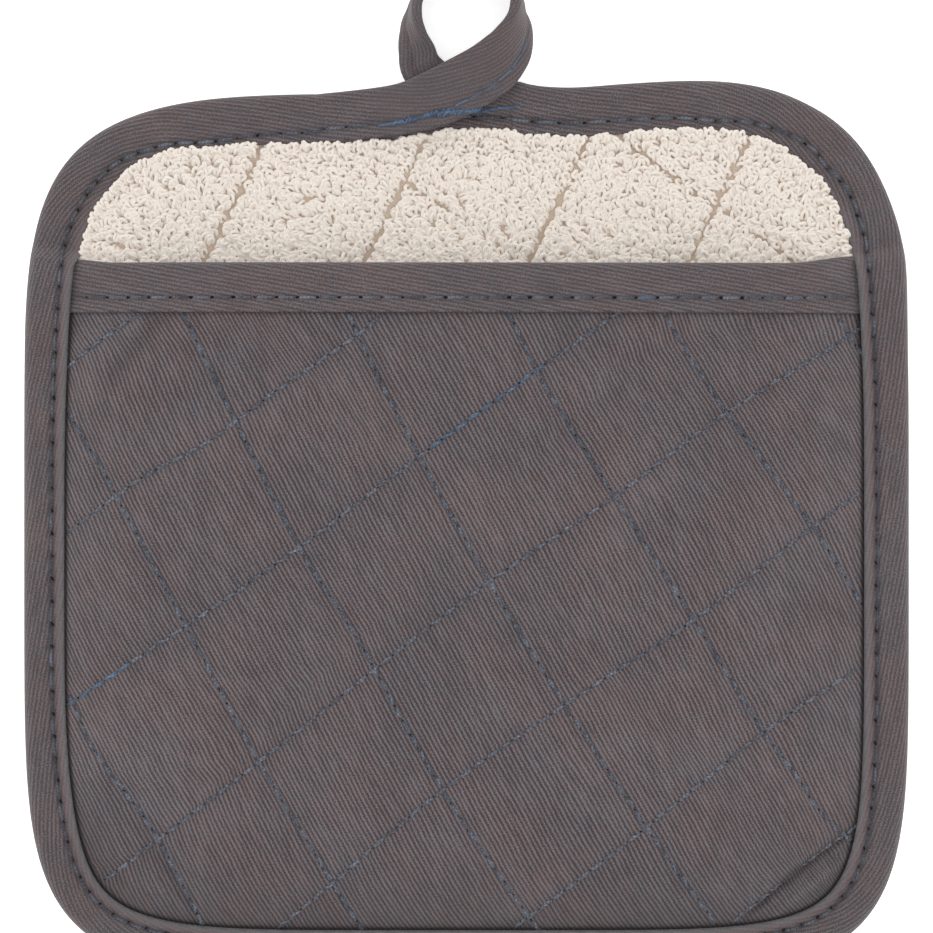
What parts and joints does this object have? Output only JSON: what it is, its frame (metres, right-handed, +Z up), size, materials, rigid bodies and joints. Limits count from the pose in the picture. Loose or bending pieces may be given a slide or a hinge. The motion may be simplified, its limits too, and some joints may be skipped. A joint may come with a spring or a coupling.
{
  "type": "pot holder",
  "caption": "Square quilted cotton pot holder with a hand pocket on its front, a looped towelling inside, a folded edge binding and a hanging loop at the top edge, lying face up.",
  "frame": {"origin": "middle of the whole outline, loop included, on the surface that the pot holder lies on", "axes": "+X to the right of the pocket side, +Y to the edge with the hanging loop, +Z up out of the surface, through the pocket"},
  "size_m": [0.2036, 0.2345, 0.017],
  "materials": {
    "terry": "cream cotton towelling with uncut yarn loops, matt",
    "twill": "brown-grey cotton twill, matt, steep diagonal ribs about 1 mm apart",
    "twill_binding": "brown-grey cotton twill tape, matt, ribs nearly along its length",
    "thread": "slate blue sewing thread, slightly glossy"
  },
  "bodies": {
    "root": {"back_panel": "terry", "pocket_panel": "twill", "pocket_binding": "twill_binding", "edge_binding": "twill_binding", "hanging_loop": "twill_binding"}
  },
  "joints": []
}
